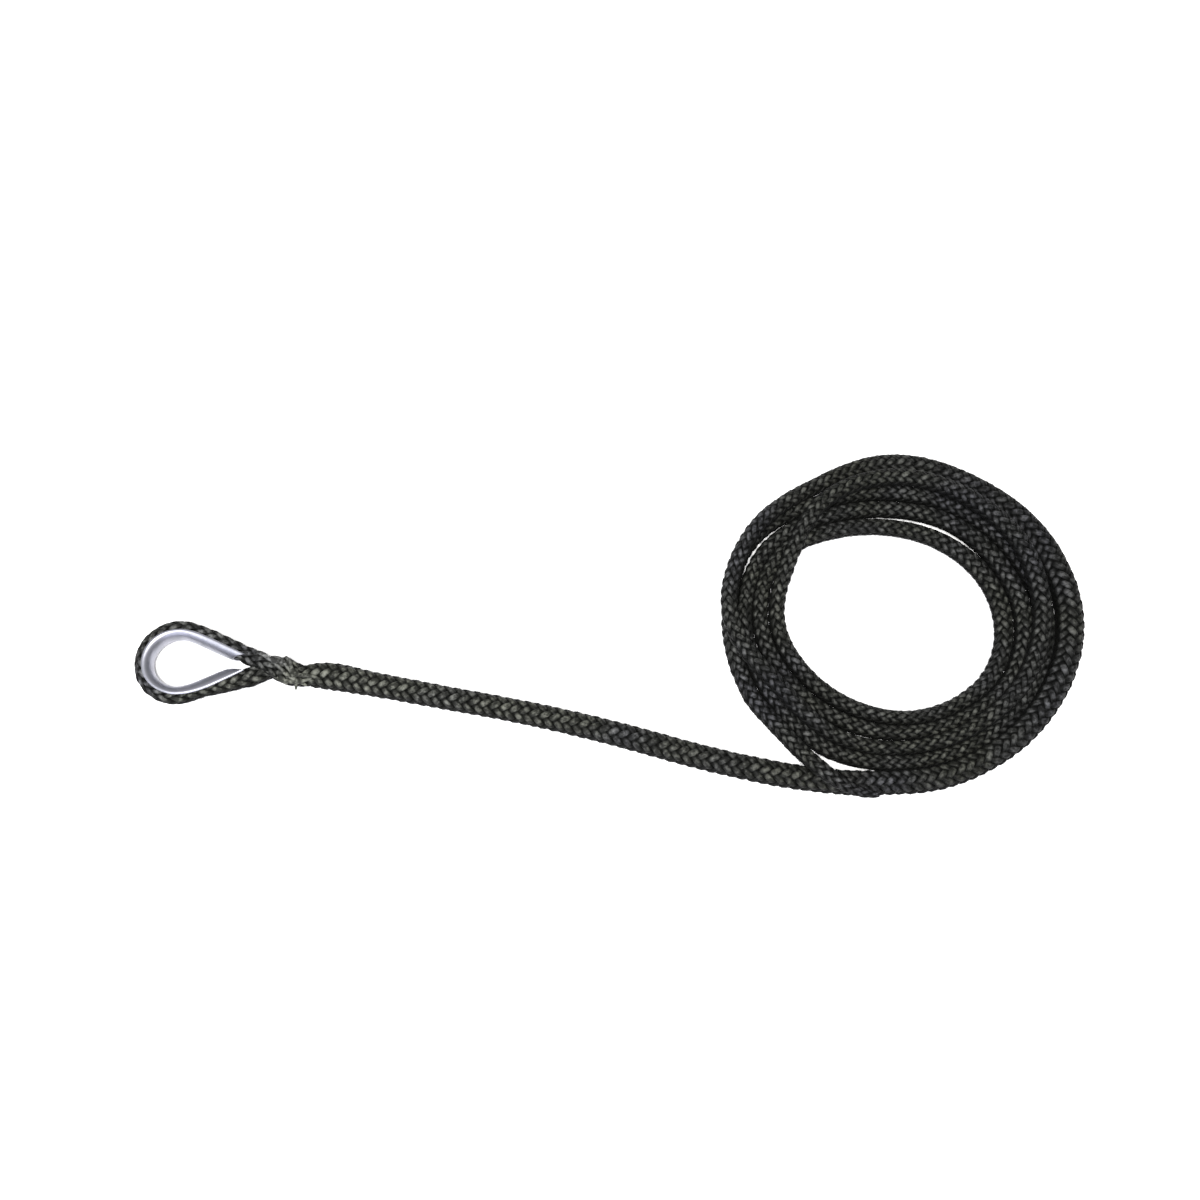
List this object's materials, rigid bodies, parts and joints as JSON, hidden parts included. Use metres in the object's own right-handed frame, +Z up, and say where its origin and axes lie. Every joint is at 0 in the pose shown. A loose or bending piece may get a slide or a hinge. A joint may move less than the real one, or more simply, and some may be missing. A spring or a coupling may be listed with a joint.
{
  "type": "thimble eye rope",
  "caption": "Galvanised steel thimble held in the locked spliced eye of a black braided rope, with the rope laid out and coiled beside it.",
  "frame": {"origin": "on the ground under the middle of the eye, which is the thimble, the rope round it and the locked tucks", "axes": "+X along the eye, from the thimble's crown to the rope; +Y level, across the eye; +Z up, square to the eye's plane"},
  "size_m": [0.4004, 0.154, 0.0181],
  "materials": {
    "galvanised_steel": "bright zinc plating, satin, a little uneven",
    "black_braid": "hollow braid of coated fibre strands, dull sheen"
  },
  "bodies": {
    "root": {"thimble": "galvanised_steel", "eye_rope": "black_braid", "splice_lock": "black_braid", "standing_cover": "black_braid", "buried_tail": "black_braid", "rope_coil": "black_braid", "tail_end": "black_braid"}
  },
  "joints": []
}
